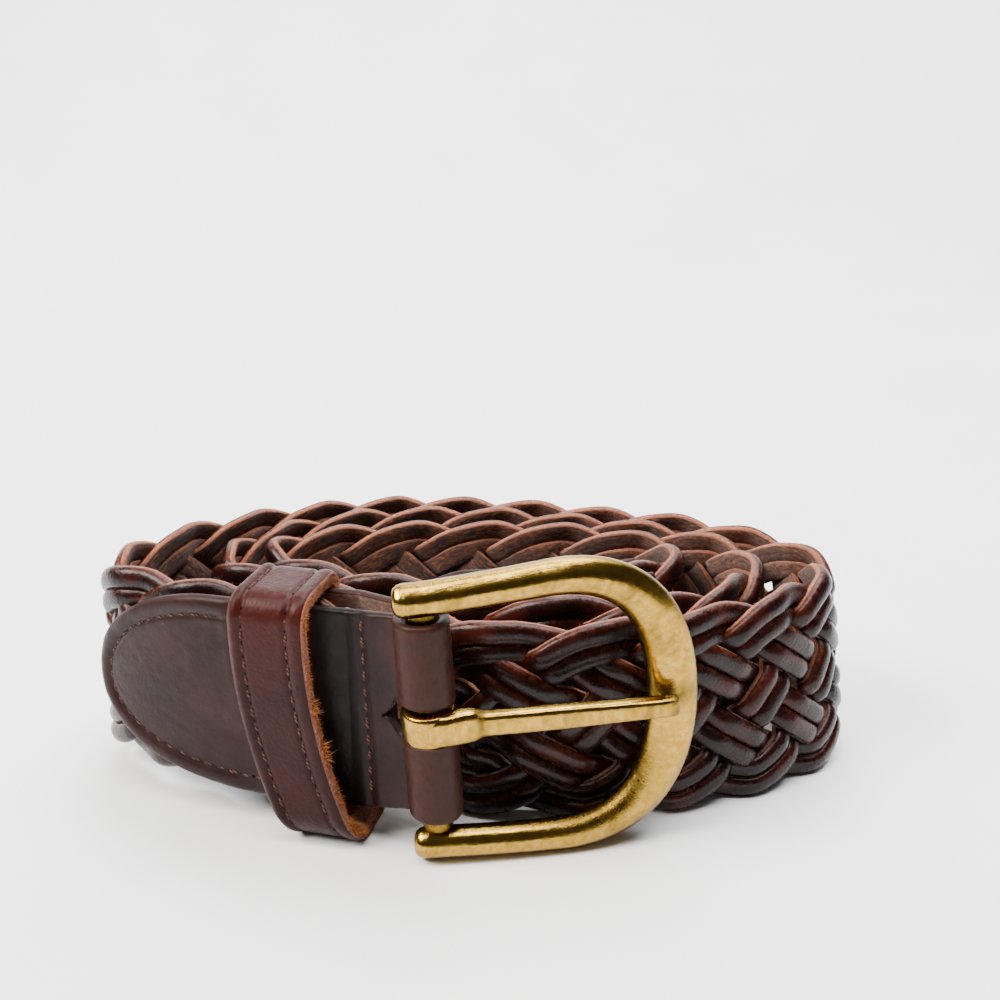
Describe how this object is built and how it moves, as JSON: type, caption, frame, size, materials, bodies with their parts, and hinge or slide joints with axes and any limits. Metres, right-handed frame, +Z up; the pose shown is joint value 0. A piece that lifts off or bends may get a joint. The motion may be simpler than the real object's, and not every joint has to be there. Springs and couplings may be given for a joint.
{
  "type": "braided leather belt",
  "caption": "Braided leather belt with a horseshoe prong buckle, wound in a loose oval coil that stands on its lower edge.",
  "frame": {"origin": "middle of the footprint, on the floor that the coil stands on", "axes": "+Z up, +X along the coil's length towards the buckle's toe, +Y from the buckle's side to the back of the coil"},
  "size_m": [0.1316, 0.0744, 0.0491],
  "materials": {
    "braided_leather": "dark brown waxed grain, orange-tan cut edges, rough flesh side",
    "tab_leather": "smooth dark brown with a soft sheen, stitched near the edge",
    "keeper_leather": "reddish brown, fine pebble grain, raw inner edge",
    "aged_brass": "polished brass, worn and tarnished brown in the hollows"
  },
  "bodies": {
    "strap": {"braided_strap": "braided_leather", "buckle_tab": "tab_leather", "keeper": "keeper_leather", "strap_tip": "tab_leather"},
    "frame": {"buckle_frame": "aged_brass"},
    "prong": {"prong": "aged_brass"}
  },
  "joints": [
    {"name": "buckle_swing", "type": "hinge", "parent": "strap", "child": "frame", "pos_m": [-0.00722, -0.03289, 0.02339], "axis": [0.0558, 0, -0.9984], "range_deg": [0, 70]},
    {"name": "prong_swing", "type": "hinge", "parent": "frame", "child": "prong", "pos_m": [-0.00722, -0.03289, 0.02339], "axis": [0.0558, 0, -0.9984], "range_deg": [0, 95]}
  ]
}
